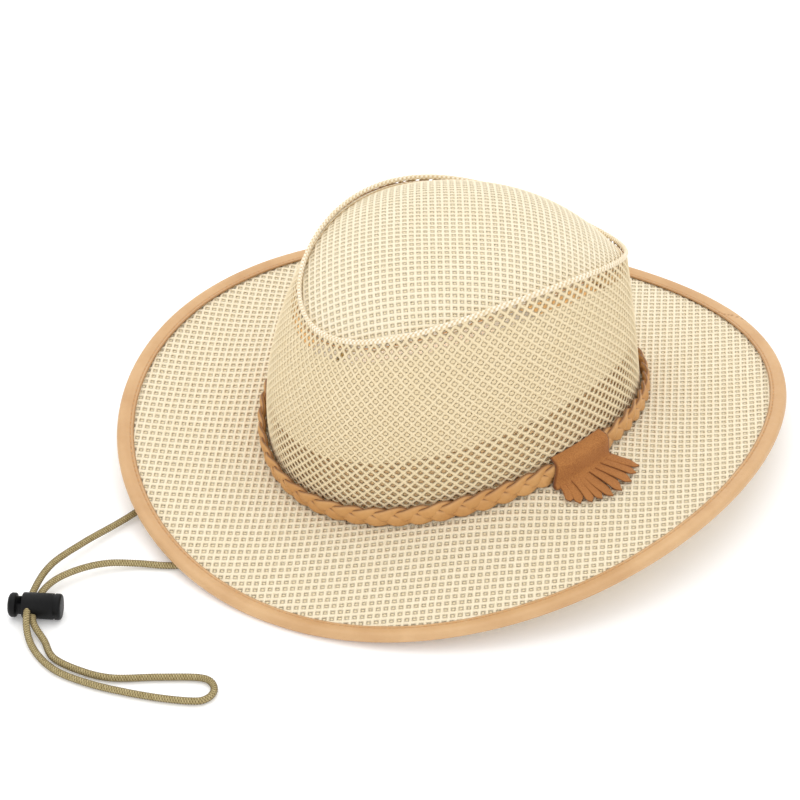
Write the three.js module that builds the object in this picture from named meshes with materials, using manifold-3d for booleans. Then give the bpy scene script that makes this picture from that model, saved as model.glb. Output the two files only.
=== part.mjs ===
// A cowboy hat sewn from open knitted mesh, lying on its brim, with its chin cord laid out in front.
// Millimetres, +Z up. The front of the hat faces -Y and +X is the wearer's left.
// The origin is on the surface that the hat rests on, under the middle of the brim.

import * as THREE from 'three';
import * as BufferGeometryUtils from 'three/addons/utils/BufferGeometryUtils.js';
import Module from 'manifold-3d';

const wasm = await Module();
wasm.setup();

// Driving dimensions

const STEPS = 72;                  // steps round the hat
const FABRIC = 1.2;                // thickness of the knitted mesh
const GAP = 0.3;                   // running gap between neighbouring pieces

const BRIM_HALF_WIDTH = 160.5;     // outer edge of the binding, side to side
const BRIM_HALF_LENGTH = 180.5;    // outer edge of the binding, front to back
const BRIM_FRONT_FULLNESS = 0.02;  // how much wider the brim is in front than behind
const BRIM_POINTEDNESS = -0.005;   // how far the outline departs from an ellipse
const BRIM_LIFT = 23.5;            // how far the sides of the brim curl up
const BRIM_LIFT_POWER = 1.8;
const BRIM_LOW_ANGLE = 17.5;       // the brim's lowest place, turned from the front to the left
const BRIM_REST_ANGLE = 2.5;       // half the stretch there that lies flat
const BRIM_DIP = 3;                // hollow across the sides of the brim

const OPENING_HALF_WIDTH = 84.2;   // head opening in the brim
const OPENING_HALF_LENGTH = 103.2;
const CROWN_BASE_HEIGHT = 18.3;    // mean height of the line where crown and brim meet
const CROWN_BASE_SADDLE = 8;       // that line is lower in front and behind, and higher at the sides

const RIDGE_HALF_WIDTH = 64;       // ridge at the top of the crown's wall
const RIDGE_HALF_LENGTH = 95.5;
const RIDGE_BACK_SHIFT = 3;
const RIDGE_FRONT_TAPER = 0.07;    // the ridge is narrower in front
const RIDGE_HEIGHT = 106;
const RIDGE_FRONT_RISE = 11.5;
const RIDGE_SADDLE = 12.6;
const RIDGE_STANDS_PROUD = 4.8;    // the ridge's height over the seam of the top panel
const WALL_BULGE = 3.8;
const WALL_BULGE_FRONT = 4;

const DOME_HEIGHT = 127.5;         // top of the crown
const DOME_FORWARD = 7;            // how far its highest point lies in front of the middle
const DOME_POWER = 3;

const BINDING_WIDTH = 8.5;         // folded strip round the edge
const BINDING_HALF_THICKNESS = 2.5;
const BINDING_LIP = 1.7;           // half thickness at its inner edge
const BINDING_COVER = 5;           // how far it reaches over the fabric
const BRIM_FLAT_EDGE = 9;          // the fabric is flat from here to its edge, inside the binding

const SWEATBAND_HEIGHT = 35;
const SWEATBAND_THICKNESS = 1.4;
const SWEATBAND_DROP = 1.5;        // how far it reaches down through the head opening

const BAND_HEIGHT = 10.8;          // braided band
const BAND_THICKNESS = 4.1;        // mean thickness of the braid
const BAND_LOBE = 0.6;             // relief of the braid's strands
const BAND_LOBES = 57;

const TAB_FROM = 79;               // stretch of the band under the suede sleeve, in degrees
const TAB_TO = 97.5;
const TAB_STEPS = 4;
const STRIP_WIDTH = 4.6;
const STRIP_THICKNESS = 1.2;

const CORD_RADIUS = 1.7;
const CORD_SIDES = 8;
const CORD_STEPS = 2;                  // steps from one point of the route to the next

const LOCK_LEFT_END = [-37.6, -250];   // middle of the barrel's open end, in plan
const LOCK_TURN = 42;                  // turn of the barrel's axis from +X, in degrees
const LOCK_SIDES = 24;
const BARREL_LENGTH = 18.5;
const BARREL_RADIUS = 6.2;
const BARREL_BORE = 4.6;
const BARREL_BORE_DEPTH = 16.5;
const HOLE_CENTRE = 4.3;               // the cord's hole, from the barrel's open end
const HOLE_HALF_WIDTH = 3.3;
const HOLE_HALF_HEIGHT = 3.4;
const BUTTON_TRAVEL = 2;
const BUTTON_CLEARANCE = 0.8;          // left between the flange and the barrel when pressed
const BUTTON_RADIUS = 5.8;             // the button's flange
const BUTTON_LENGTH = 3.9;
const BUTTON_END = 1.8;                // solid end of the button's rod, past its slot

// The fringe: where each strip leaves the sleeve and where its tip lies, in plan
const FRINGE_STRIPS = [
  { rootY: -18, tipX: 101, tipY: -25.5 },
  { rootY: -14.5, tipX: 105, tipY: -22.5 },
  { rootY: -11, tipX: 108.5, tipY: -18 },
  { rootY: -7.5, tipX: 110.5, tipY: -12.8 },
  { rootY: -4, tipX: 113, tipY: -7.5 },
  { rootY: 0, tipX: 113.7, tipY: -2 },
  { rootY: 4, tipX: 112.5, tipY: 6.5 },
  { rootY: 8, tipX: 110, tipY: 13 },
  { rootY: 12, tipX: 107, tipY: 18.5 },
];

// The cord's route: from the sweatband on the right, under the brim, through the lock, round the
// loop, back through the lock and under the brim to the sweatband on the left
const CORD_ROUTE = [
  [-81.9, 0, 24.5], [-81.8, -1, 15], [-80.8, -8, 5.5], [-79.3, -18, 2.6], [-76.7, -36, 2],
  [-58.5, -167, 2.7], [-55.6, -200, 5], [-51.4, -223, 6.6], [-41.1, -241, 7.4], [-29.1, -254.4, 7.1],
  [-21.2, -259.8, 3.2], [-10, -263.5, 1.9], [5, -264.3, 1.8], [22, -259, 1.8], [38, -250.8, 1.8],
  [54, -240.6, 1.8], [64, -232.6, 1.8], [66.7, -229.3, 1.8], [67.4, -225.2, 1.8], [65.9, -221.3, 1.8],
  [62.6, -218.8, 1.8], [58.5, -218.2, 1.8], [54.6, -220, 1.8], [41.5, -233, 1.8], [26, -249.6, 1.8],
  [12.5, -256.4, 1.8], [-3, -259.6, 1.8], [-14.5, -255.7, 2.1], [-27, -252.5, 4.6], [-39, -239.2, 4.9],
  [-42.6, -228, 5.2], [-41.2, -214, 5], [-36.4, -201, 4.1], [-28, -189.8, 2.6], [-16.2, -178.6, 1.8],
  [10, -146, 1.8], [72, -37, 2.1], [79.3, -17, 2.5], [81.6, -4, 9], [81.9, 0, 24.5],
];

// Materials

const straw = new THREE.MeshStandardMaterial({ color: '#f3e8cf', roughness: 0.9, metalness: 0 });
const faux_leather = new THREE.MeshStandardMaterial({ color: '#e2b98a', roughness: 0.55, metalness: 0 });
const braid = new THREE.MeshStandardMaterial({ color: '#dfae72', roughness: 0.6, metalness: 0 });
const suede = new THREE.MeshStandardMaterial({ color: '#bd7f49', roughness: 0.95, metalness: 0 });
const tan_cloth = new THREE.MeshStandardMaterial({ color: '#c9a777', roughness: 0.9, metalness: 0 });
const khaki_cord = new THREE.MeshStandardMaterial({ color: '#a49162', roughness: 0.8, metalness: 0 });
const black_plastic = new THREE.MeshStandardMaterial({ color: '#161618', roughness: 0.35, metalness: 0 });

// Helpers

const radians = (degrees) => (degrees * Math.PI) / 180;
const mix = (from, to, share) => from + (to - from) * share;

// Six times the volume inside a mesh of triangles, negative when its faces point inward
function signedVolume(points, triangles) {
  let sum = 0;
  for (let i = 0; i < triangles.length; i += 3) {
    const a = new THREE.Vector3(...points[triangles[i]]);
    const b = new THREE.Vector3(...points[triangles[i + 1]]);
    const c = new THREE.Vector3(...points[triangles[i + 2]]);
    sum += a.dot(b.cross(c));
  }
  return sum;
}

// A closed solid from its points and triangles, with its faces turned outward
function solidOf(points, triangles) {
  const outward = signedVolume(points, triangles) > 0 ? triangles : [...triangles].reverse();
  const geometry = new THREE.BufferGeometry();
  geometry.setAttribute('position', new THREE.Float32BufferAttribute(points.flat(), 3));
  geometry.setIndex(outward);
  geometry.computeVertexNormals();
  return geometry;
}

// Two triangles between the points i and j of one ring and the same points of the next
function quad(triangles, ring, next, i, j) {
  triangles.push(ring + i, next + i, next + j, ring + i, next + j, ring + j);
}

// A ring that closes on itself: section(angle, step) gives the closed outline at each step
function ringSolid(section, steps) {
  const points = [];
  const triangles = [];
  let count = 0;
  for (let step = 0; step < steps; step++) {
    const outline = section((360 * step) / steps, step);
    count = outline.length;
    points.push(...outline);
  }
  for (let step = 0; step < steps; step++) {
    const next = (step + 1) % steps;
    for (let i = 0; i < count; i++) {
      quad(triangles, step * count, next * count, i, (i + 1) % count);
    }
  }
  return solidOf(points, triangles);
}

// A run of outlines with a cap at each end, given the flat shape that they all follow
function runSolid(outlines, shape) {
  const count = shape.length;
  const last = (outlines.length - 1) * count;
  const triangles = [];
  for (let step = 0; step + 1 < outlines.length; step++) {
    for (let i = 0; i < count; i++) {
      quad(triangles, step * count, (step + 1) * count, i, (i + 1) % count);
    }
  }
  const flat = shape.map(([x, y]) => new THREE.Vector2(x, y));
  for (const [a, b, c] of THREE.ShapeUtils.triangulateShape(flat, [])) {
    const area = THREE.ShapeUtils.area([flat[a], flat[b], flat[c]]);
    const [second, third] = area * THREE.ShapeUtils.area(flat) > 0 ? [b, c] : [c, b];
    triangles.push(a, second, third, last + a, last + third, last + second);
  }
  return solidOf(outlines.flat(), triangles);
}

// Joins and cuts, made on merged triangles
function toManifold(geometry) {
  const bare = geometry.clone();
  bare.deleteAttribute('normal');
  bare.deleteAttribute('uv');
  const merged = BufferGeometryUtils.mergeVertices(bare, 1e-4);
  return new wasm.Manifold(new wasm.Mesh({
    numProp: 3,
    vertProperties: new Float32Array(merged.attributes.position.array),
    triVerts: new Uint32Array(merged.index.array),
  }));
}

function fromManifold(manifold) {
  const mesh = manifold.getMesh();
  const geometry = new THREE.BufferGeometry();
  geometry.setAttribute('position', new THREE.BufferAttribute(mesh.vertProperties, 3));
  geometry.setIndex(new THREE.BufferAttribute(mesh.triVerts, 1));
  geometry.computeVertexNormals();
  return geometry;
}

// Outlines of the hat. An angle of 0 is the front, and 90 is the wearer's left.

// Outer edge of the brim in plan
function brimOutline(angle) {
  const s = Math.sin(radians(angle));
  const c = Math.cos(radians(angle));
  const point = BRIM_POINTEDNESS * Math.cos(2 * radians(angle));
  return new THREE.Vector2(
    BRIM_HALF_WIDTH * s * (1 + BRIM_FRONT_FULLNESS * c - point),
    -BRIM_HALF_LENGTH * c * (1 + point),
  );
}

// Outward direction of that edge in plan
function brimNormal(angle) {
  const along = brimOutline(angle + 0.5).sub(brimOutline(angle - 0.5)).normalize();
  return new THREE.Vector2(along.y, -along.x);
}

// Height of the middle of the fabric at the brim's edge
function brimEdgeHeight(angle) {
  const flat = Math.sin(radians(BRIM_REST_ANGLE));
  const away = Math.abs(Math.sin(radians(angle - BRIM_LOW_ANGLE)));
  const rise = Math.max(0, (away - flat) / (1 - flat));
  return BINDING_HALF_THICKNESS + BRIM_LIFT * rise ** BRIM_LIFT_POWER;
}

// A point of the brim's edge, moved inward by a distance
function brimInset(angle, inset) {
  return brimOutline(angle).addScaledVector(brimNormal(angle), -inset);
}

// Height of the line where the crown meets the brim's upper face
function crownBaseHeight(angle) {
  return CROWN_BASE_HEIGHT - CROWN_BASE_SADDLE * Math.cos(2 * radians(angle));
}

// The brim's upper face: share 0 is the head opening and 1 the inner edge of its flat rim
function brimTop(angle, share) {
  const s = Math.sin(radians(angle));
  const c = Math.cos(radians(angle));
  const outer = brimInset(angle, BRIM_FLAT_EDGE);
  const dip = BRIM_DIP * s * s * 4 * share * (1 - share);
  return [
    mix(OPENING_HALF_WIDTH * s, outer.x, share),
    mix(-OPENING_HALF_LENGTH * c, outer.y, share),
    mix(crownBaseHeight(angle), brimEdgeHeight(angle) + FABRIC / 2, share) - dip,
  ];
}

// Height of the brim's upper face under a point in plan
function brimTopAt(x, y) {
  let share = 0.2;
  let angle = 0;
  for (let pass = 0; pass < 30; pass++) {
    const wide = mix(OPENING_HALF_WIDTH, BRIM_HALF_WIDTH - BRIM_FLAT_EDGE, share);
    const long = mix(OPENING_HALF_LENGTH, BRIM_HALF_LENGTH - BRIM_FLAT_EDGE, share);
    angle = (Math.atan2(x / wide, -y / long) * 180) / Math.PI;
    const inner = Math.hypot(...brimTop(angle, 0).slice(0, 2));
    const outer = Math.hypot(...brimTop(angle, 1).slice(0, 2));
    share = (Math.hypot(x, y) - inner) / (outer - inner);
  }
  return brimTop(angle, share)[2];
}

// Height of the ridge at the top of the crown's wall
function ridgeHeight(angle) {
  const c = Math.cos(radians(angle));
  return RIDGE_HEIGHT + RIDGE_FRONT_RISE * c - RIDGE_SADDLE * Math.cos(2 * radians(angle));
}

// The crown's wall, moved outward from its inner face: share 0 is its foot and 1 the ridge
function wallPoint(angle, share, outward) {
  const s = Math.sin(radians(angle));
  const c = Math.cos(radians(angle));
  const bulge = (WALL_BULGE + WALL_BULGE_FRONT * c) * 4 * share * (1 - share);
  const reach = bulge + outward - FABRIC;
  const footX = (OPENING_HALF_WIDTH + FABRIC) * s;
  const footY = -(OPENING_HALF_LENGTH + FABRIC) * c;
  const ridgeX = RIDGE_HALF_WIDTH * s * (1 - RIDGE_FRONT_TAPER * c);
  const ridgeY = -RIDGE_HALF_LENGTH * c + RIDGE_BACK_SHIFT;
  return [
    mix(footX, ridgeX, share) + reach * s,
    mix(footY, ridgeY, share) - reach * c,
    mix(crownBaseHeight(angle) + GAP, ridgeHeight(angle), share),
  ];
}

// Share of the wall's height at which it is this far above its foot
function wallShare(angle, height) {
  return height / (ridgeHeight(angle) - crownBaseHeight(angle));
}

// Seam of the crown's top panel, just inside the wall and below the ridge
function seamPoint(angle) {
  const share = 1 - wallShare(angle, RIDGE_STANDS_PROUD);
  return wallPoint(angle, share, -GAP);
}

// The crown's top panel: share 0 is its highest point and 1 its seam
function domeTop(angle, share) {
  const [x, y, z] = seamPoint(angle);
  return new THREE.Vector3(
    x * share,
    mix(-DOME_FORWARD, y, share),
    mix(DOME_HEIGHT, z, share ** DOME_POWER),
  );
}

// The same panel, moved inward by its thickness
function domeUnder(angle, share) {
  const round = domeTop(angle + 1, share).sub(domeTop(angle - 1, share));
  const down = domeTop(angle, share + 0.01).sub(domeTop(angle, share - 0.01));
  const normal = down.cross(round).normalize();
  return domeTop(angle, share).addScaledVector(normal, -FABRIC);
}

// Pieces

function makeBrim() {
  const shares = [0, 0.25, 0.5, 0.75, 1];
  return ringSolid((angle) => {
    const edge = brimInset(angle, BRIM_FLAT_EDGE - BINDING_COVER - GAP);
    const upper = shares.map((share) => brimTop(angle, share));
    upper.push([edge.x, edge.y, brimEdgeHeight(angle) + FABRIC / 2]);
    const lower = upper.map(([x, y, z]) => [x, y, z - FABRIC]);
    return [...upper, ...lower.reverse()];
  }, STEPS);
}

// A strip folded over the brim's edge: an outer roll and two lips with a slot between them
function makeBinding() {
  const slot = FABRIC / 2 + GAP;
  const thick = BINDING_HALF_THICKNESS;
  const slotFloor = BINDING_WIDTH - BINDING_COVER - GAP;
  const outline = [
    [0, 0], [0.5, 1.7], [1.7, thick], [4.2, thick], [BINDING_WIDTH, BINDING_LIP], [BINDING_WIDTH, slot],
    [slotFloor, slot], [slotFloor, -slot], [BINDING_WIDTH, -slot], [BINDING_WIDTH, -BINDING_LIP],
    [4.7, -thick], [1.7, -thick], [0.5, -1.7],
  ];
  return ringSolid((angle) => outline.map(([inset, height]) => {
    const place = brimInset(angle, inset);
    return [place.x, place.y, brimEdgeHeight(angle) + height];
  }), STEPS);
}

function makeCrownSide() {
  const shares = [0, 0.2, 0.4, 0.6, 0.8, 1];
  return ringSolid((angle) => {
    const outer = shares.map((share) => wallPoint(angle, share, FABRIC));
    const inner = shares.map((share) => wallPoint(angle, share, 0));
    return [...outer, ...inner.reverse()];
  }, STEPS);
}

function makeCrownTop() {
  const shares = [0.3, 0.55, 0.75, 0.9, 1];
  const rows = [
    ...shares.map((share) => (angle) => domeTop(angle, share)),
    ...[...shares].reverse().map((share) => (angle) => domeUnder(angle, share)),
  ];
  const points = [];
  const triangles = [];
  for (const row of rows) {
    for (let step = 0; step < STEPS; step++) {
      points.push(row((360 * step) / STEPS).toArray());
    }
  }
  for (let row = 0; row + 1 < rows.length; row++) {
    for (let step = 0; step < STEPS; step++) {
      quad(triangles, row * STEPS, (row + 1) * STEPS, step, (step + 1) % STEPS);
    }
  }
  const last = (rows.length - 1) * STEPS;
  const top = points.push([0, -DOME_FORWARD, DOME_HEIGHT]) - 1;
  const under = points.push([0, -DOME_FORWARD, DOME_HEIGHT - FABRIC]) - 1;
  for (let step = 0; step < STEPS; step++) {
    const next = (step + 1) % STEPS;
    triangles.push(top, step, next, under, last + next, last + step);
  }
  return solidOf(points, triangles);
}

function makeSweatband() {
  const heights = [SWEATBAND_HEIGHT / 2, SWEATBAND_HEIGHT];
  return ringSolid((angle) => {
    const face = (outward) => {
      const foot = wallPoint(angle, 0, outward);
      const above = heights.map((height) => wallPoint(angle, wallShare(angle, height), outward));
      return [[foot[0], foot[1], crownBaseHeight(angle) - SWEATBAND_DROP], ...above];
    };
    return [...face(-GAP), ...face(-GAP - SWEATBAND_THICKNESS).reverse()];
  }, STEPS);
}

// A point beside the wall: out is measured from the wall's outer face, up from the brim
function besideWall(angle, out, up) {
  const [x, y] = wallPoint(angle, wallShare(angle, up), FABRIC + out);
  return [x, y, brimTopAt(x, y) + up];
}

// The braid's outer form: two rows of lobes, each half a lobe from the other
function makeHatBand() {
  return ringSolid((angle, step) => {
    const upper = BAND_THICKNESS + BAND_LOBE * (step % 2 ? -1 : 1);
    const lower = BAND_THICKNESS + BAND_LOBE * (step % 2 ? 1 : -1);
    const outline = [
      [GAP, 0.5], [GAP, BAND_HEIGHT], [upper, 0.76 * BAND_HEIGHT],
      [4.5, 0.5 * BAND_HEIGHT], [lower, 0.26 * BAND_HEIGHT], [2.4, 0.4],
    ];
    return outline.map(([out, up]) => besideWall(angle, out, up));
  }, 2 * BAND_LOBES);
}

// A flat strip of the fringe, from under the sleeve's foot to its tip on the brim
function makeStrip({ rootY, tipX, tipY }) {
  const root = new THREE.Vector2(OPENING_HALF_WIDTH + 6.3, rootY);
  const tip = new THREE.Vector2(tipX, tipY);
  const along = tip.clone().sub(root).normalize();
  const across = new THREE.Vector2(-along.y, along.x);
  const outlines = [0, 0.5, 1].map((share) => {
    const half = (STRIP_WIDTH / 2) * (share === 1 ? 0.75 : 1);
    const middle = root.clone().lerp(tip, share);
    const sides = [-half, half].map((offset) => middle.clone().addScaledVector(across, offset));
    const [a, b] = sides.map((side) => [side.x, side.y, brimTopAt(side.x, side.y) + GAP + 0.15]);
    return [a, b, [b[0], b[1], b[2] + STRIP_THICKNESS], [a[0], a[1], a[2] + STRIP_THICKNESS]];
  });
  return runSolid(outlines, [[0, 0], [1, 0], [1, 1], [0, 1]]);
}

// The sleeve folded over the band, with its fringe fanned out on the brim
function makeFringeTab() {
  const outline = [
    [0.4, 11], [4.4, 11], [5.5, 10], [5.5, 0.5], [8.4, 0.5], [8.4, 1.7],
    [7, 3], [6.8, 10.6], [5, 12.1], [0.4, 12.1],
  ];
  const outlines = [];
  for (let step = 0; step <= TAB_STEPS; step++) {
    const angle = mix(TAB_FROM, TAB_TO, step / TAB_STEPS);
    outlines.push(outline.map(([out, up]) => besideWall(angle, out, up)));
  }
  let tab = toManifold(runSolid(outlines, outline));
  for (const strip of FRINGE_STRIPS) {
    tab = tab.add(toManifold(makeStrip(strip)));
  }
  return fromManifold(tab);
}

function makeCord() {
  const corners = [];
  for (let i = 0; i < CORD_SIDES; i++) {
    const turn = (2 * Math.PI * (i + 0.5)) / CORD_SIDES;
    corners.push(new THREE.Vector2(CORD_RADIUS * Math.cos(turn), CORD_RADIUS * Math.sin(turn)));
  }
  const points = CORD_ROUTE.map(([x, y, z]) => new THREE.Vector3(x, y, z));
  const route = new THREE.CatmullRomCurve3(points, false, 'centripetal');
  // Steps follow the points, which are close together where the cord bends
  route.getUtoTmapping = (share) => share;
  const steps = CORD_STEPS * (points.length - 1);
  return new THREE.ExtrudeGeometry(new THREE.Shape(corners), { steps, extrudePath: route });
}

// The lock's pieces are made with their axis along +Y, from the barrel's open end
function turned(profile) {
  const points = profile.map(([radius, along]) => new THREE.Vector2(radius, along));
  const geometry = new THREE.LatheGeometry(points, LOCK_SIDES, Math.PI / LOCK_SIDES);
  return toManifold(geometry);
}

// A block for a hole along Z through the lock, from one place on its axis to another
function crossHole(from, to) {
  const block = new THREE.BoxGeometry(2 * HOLE_HALF_HEIGHT, to - from, 4 * BARREL_RADIUS);
  block.translate(0, (from + to) / 2, 0);
  return toManifold(block);
}

function makeBarrel() {
  const barrel = turned([
    [0, BARREL_BORE_DEPTH], [BARREL_BORE, BARREL_BORE_DEPTH], [BARREL_BORE, 0], [BARREL_RADIUS - 0.5, 0],
    [BARREL_RADIUS, 0.5], [BARREL_RADIUS, BARREL_LENGTH - 1], [BARREL_RADIUS - 1, BARREL_LENGTH],
    [0, BARREL_LENGTH],
  ]);
  const hole = crossHole(HOLE_CENTRE - HOLE_HALF_WIDTH, HOLE_CENTRE + HOLE_HALF_WIDTH);
  return fromManifold(barrel.subtract(hole));
}

function makeButton() {
  const neck = -BUTTON_TRAVEL - BUTTON_CLEARANCE;
  const end = neck - BUTTON_LENGTH;
  const rod = BARREL_BORE - GAP;
  const slotFrom = HOLE_CENTRE - HOLE_HALF_WIDTH - BUTTON_TRAVEL;
  const slotTo = HOLE_CENTRE + HOLE_HALF_WIDTH;
  const button = turned([
    [0, end], [BUTTON_RADIUS - 2.6, end + 0.1], [BUTTON_RADIUS - 1.2, end + 0.5], [BUTTON_RADIUS, end + 1.4],
    [BUTTON_RADIUS, neck - 0.6], [BUTTON_RADIUS - 0.5, neck], [rod, neck], [rod, slotTo + BUTTON_END],
    [0, slotTo + BUTTON_END],
  ]);
  return fromManifold(button.subtract(crossHole(slotFrom, slotTo)));
}

// Assembly

const hat = new THREE.Group();

function addPiece(name, geometry, material, parent = hat) {
  const mesh = new THREE.Mesh(geometry, material);
  mesh.name = name;
  parent.add(mesh);
}

addPiece('brim', makeBrim(), straw);
addPiece('brim_binding', makeBinding(), faux_leather);
addPiece('crown_side', makeCrownSide(), straw);
addPiece('crown_top', makeCrownTop(), straw);
addPiece('sweatband', makeSweatband(), tan_cloth);
addPiece('hat_band', makeHatBand(), braid);
addPiece('fringe_tab', makeFringeTab(), suede);
addPiece('chin_cord', makeCord(), khaki_cord);

// The lock lies on its side: its axis level, its cross hole level too, one flat of its barrel down
const lock = new THREE.Group();
const lockHeight = BARREL_RADIUS * Math.cos(Math.PI / LOCK_SIDES);
lock.position.set(LOCK_LEFT_END[0], LOCK_LEFT_END[1], lockHeight);
const alongLock = new THREE.Vector3(Math.cos(radians(LOCK_TURN)), Math.sin(radians(LOCK_TURN)), 0);
const upward = new THREE.Vector3(0, 0, 1);
const acrossLock = new THREE.Vector3().crossVectors(upward, alongLock);
const lockAxes = new THREE.Matrix4().makeBasis(upward, alongLock, acrossLock);
lock.quaternion.setFromRotationMatrix(lockAxes);
hat.add(lock);
addPiece('cord_lock_body', makeBarrel(), black_plastic, lock);
addPiece('cord_lock_button', makeButton(), black_plastic, lock);

export default hat;
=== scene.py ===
# A cowboy hat sewn from open knitted mesh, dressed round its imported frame.
# Shapes are worked out in millimetres with the part's own formulas and turned into metres
# where a mesh is made. An angle of 0 is the front of the hat (-Y) and 90 is the wearer's left (+X).

import math

import bpy
import numpy as np
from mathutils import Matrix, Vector
from numpy.linalg import norm


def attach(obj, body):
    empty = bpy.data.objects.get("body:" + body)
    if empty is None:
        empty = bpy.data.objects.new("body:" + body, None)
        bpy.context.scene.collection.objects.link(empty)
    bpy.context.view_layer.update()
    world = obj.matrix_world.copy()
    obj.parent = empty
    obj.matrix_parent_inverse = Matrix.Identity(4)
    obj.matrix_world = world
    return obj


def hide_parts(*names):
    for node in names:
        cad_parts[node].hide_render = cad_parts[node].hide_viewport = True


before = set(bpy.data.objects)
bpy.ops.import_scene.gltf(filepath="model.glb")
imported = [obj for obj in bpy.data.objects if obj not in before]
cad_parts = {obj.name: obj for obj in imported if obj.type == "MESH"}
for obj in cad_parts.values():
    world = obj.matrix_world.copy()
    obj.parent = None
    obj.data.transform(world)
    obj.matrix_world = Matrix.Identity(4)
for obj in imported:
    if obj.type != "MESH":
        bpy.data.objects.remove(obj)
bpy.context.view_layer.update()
MM = 0.001

# Dimensions shared with the part's source, in millimetres

FABRIC = 1.2
GAP = 0.3
BRIM_HALF_WIDTH = 160.5
BRIM_HALF_LENGTH = 180.5
BRIM_FRONT_FULLNESS = 0.02
BRIM_POINTEDNESS = -0.005
BRIM_LIFT = 23.5
BRIM_LIFT_POWER = 1.8
BRIM_LOW_ANGLE = 17.5
BRIM_REST_ANGLE = 2.5
BRIM_DIP = 3
OPENING_HALF_WIDTH = 84.2
OPENING_HALF_LENGTH = 103.2
CROWN_BASE_HEIGHT = 18.3
CROWN_BASE_SADDLE = 8
RIDGE_HALF_WIDTH = 64
RIDGE_HALF_LENGTH = 95.5
RIDGE_BACK_SHIFT = 3
RIDGE_FRONT_TAPER = 0.07
RIDGE_HEIGHT = 106
RIDGE_FRONT_RISE = 11.5
RIDGE_SADDLE = 12.6
RIDGE_STANDS_PROUD = 4.8
WALL_BULGE = 3.8
WALL_BULGE_FRONT = 4
DOME_HEIGHT = 127.5
DOME_FORWARD = 7
DOME_POWER = 3
BINDING_HALF_THICKNESS = 2.5
BRIM_FLAT_EDGE = 9
NET_EDGE_INSET = 3.9
SWEATBAND_HEIGHT = 35
SWEATBAND_THICKNESS = 1.4
SWEATBAND_DROP = 1.5
TAB_FROM = 79
TAB_TO = 97.5
CORD_RADIUS = 1.7
LOCK_LEFT_END = (-37.6, -250)
LOCK_TURN = 42
LOCK_SIDES = 24
BARREL_LENGTH = 18.5
BARREL_RADIUS = 6.2
BARREL_BORE = 4.6
BARREL_BORE_DEPTH = 16.5
HOLE_CENTRE = 4.3
HOLE_HALF_WIDTH = 3.3
HOLE_HALF_HEIGHT = 3.4
HOLE_FROM = HOLE_CENTRE - HOLE_HALF_WIDTH
HOLE_TO = HOLE_CENTRE + HOLE_HALF_WIDTH
BUTTON_TRAVEL = 2
BUTTON_CLEARANCE = 0.8
BUTTON_RADIUS = 5.8
BUTTON_LENGTH = 3.9
BUTTON_END = 1.8

# Where each strip of the fringe leaves the sleeve, and where its tip lies, in plan
FRINGE_ROOT_X = OPENING_HALF_WIDTH + 6.3
FRINGE_STRIPS = (
    (-18, 101, -25.5), (-14.5, 105, -22.5), (-11, 108.5, -18), (-7.5, 110.5, -12.8), (-4, 113, -7.5),
    (0, 113.7, -2), (4, 112.5, 6.5), (8, 110, 13), (12, 107, 18.5),
)

# The chin cord's route, from the sweatband on the right round to the sweatband on the left
CORD_ROUTE = (
    (-81.9, 0, 24.5), (-81.8, -1, 15), (-80.8, -8, 5.5), (-79.3, -18, 2.6), (-76.7, -36, 2),
    (-58.5, -167, 2.7), (-55.6, -200, 5), (-51.4, -223, 6.6), (-41.1, -241, 7.4),
    (-29.1, -254.4, 7.1), (-21.2, -259.8, 3.2), (-10, -263.5, 1.9), (5, -264.3, 1.8),
    (22, -259, 1.8), (38, -250.8, 1.8), (54, -240.6, 1.8), (64, -232.6, 1.8),
    (66.7, -229.3, 1.8), (67.4, -225.2, 1.8), (65.9, -221.3, 1.8), (62.6, -218.8, 1.8),
    (58.5, -218.2, 1.8), (54.6, -220, 1.8), (41.5, -233, 1.8), (26, -249.6, 1.8),
    (12.5, -256.4, 1.8), (-3, -259.6, 1.8), (-14.5, -255.7, 2.1), (-27, -252.5, 4.6),
    (-39, -239.2, 4.9), (-42.6, -228, 5.2), (-41.2, -214, 5), (-36.4, -201, 4.1),
    (-28, -189.8, 2.6), (-16.2, -178.6, 1.8), (10, -146, 1.8), (72, -37, 2.1), (79.3, -17, 2.5),
    (81.6, -4, 9), (81.9, 0, 24.5),
)


# Camera

CAMERA_AZIMUTH = 46
CAMERA_ELEVATION = 36
CAMERA_DISTANCE = 1281
CAMERA_AIM = (-12.26, -28.8, 26.6)
CAMERA_LENS = 113.6


def add_object(name, data):
    thing = bpy.data.objects.new(name, data)
    bpy.context.scene.collection.objects.link(thing)
    return thing


def add_aimed(name, data, place, forward):
    """A camera or a light that points forward."""
    thing = add_object(name, data)
    thing.location = place
    thing.rotation_mode = "QUATERNION"
    thing.rotation_quaternion = forward.to_track_quat("-Z", "Y")
    return thing


def make_camera():
    turn, rise = math.radians(CAMERA_AZIMUTH), math.radians(CAMERA_ELEVATION)
    back = Vector((math.sin(turn) * math.cos(rise), -math.cos(turn) * math.cos(rise), math.sin(rise)))
    data = bpy.data.cameras.new("camera")
    data.lens = CAMERA_LENS
    place = (Vector(CAMERA_AIM) + back * CAMERA_DISTANCE) * MM
    bpy.context.scene.camera = add_aimed("camera", data, place, -back)


# Small helpers

FINE_ANGLES = np.arange(0, 360, 0.25)


def mix(low, high, share):
    return low + (high - low) * share


def unit(vectors):
    return vectors / np.maximum(norm(vectors, axis=-1, keepdims=True), 1e-9)


def stack(*coordinates):
    return np.stack(np.broadcast_arrays(*coordinates), axis=-1).astype(float)


def circle(angle):
    """Sine and cosine of an angle in degrees."""
    turn = np.radians(angle)
    return np.sin(turn), np.cos(turn)


def round_turn(count):
    """Angles all the way round, in radians."""
    return 2 * np.pi * np.arange(count) / count


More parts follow.
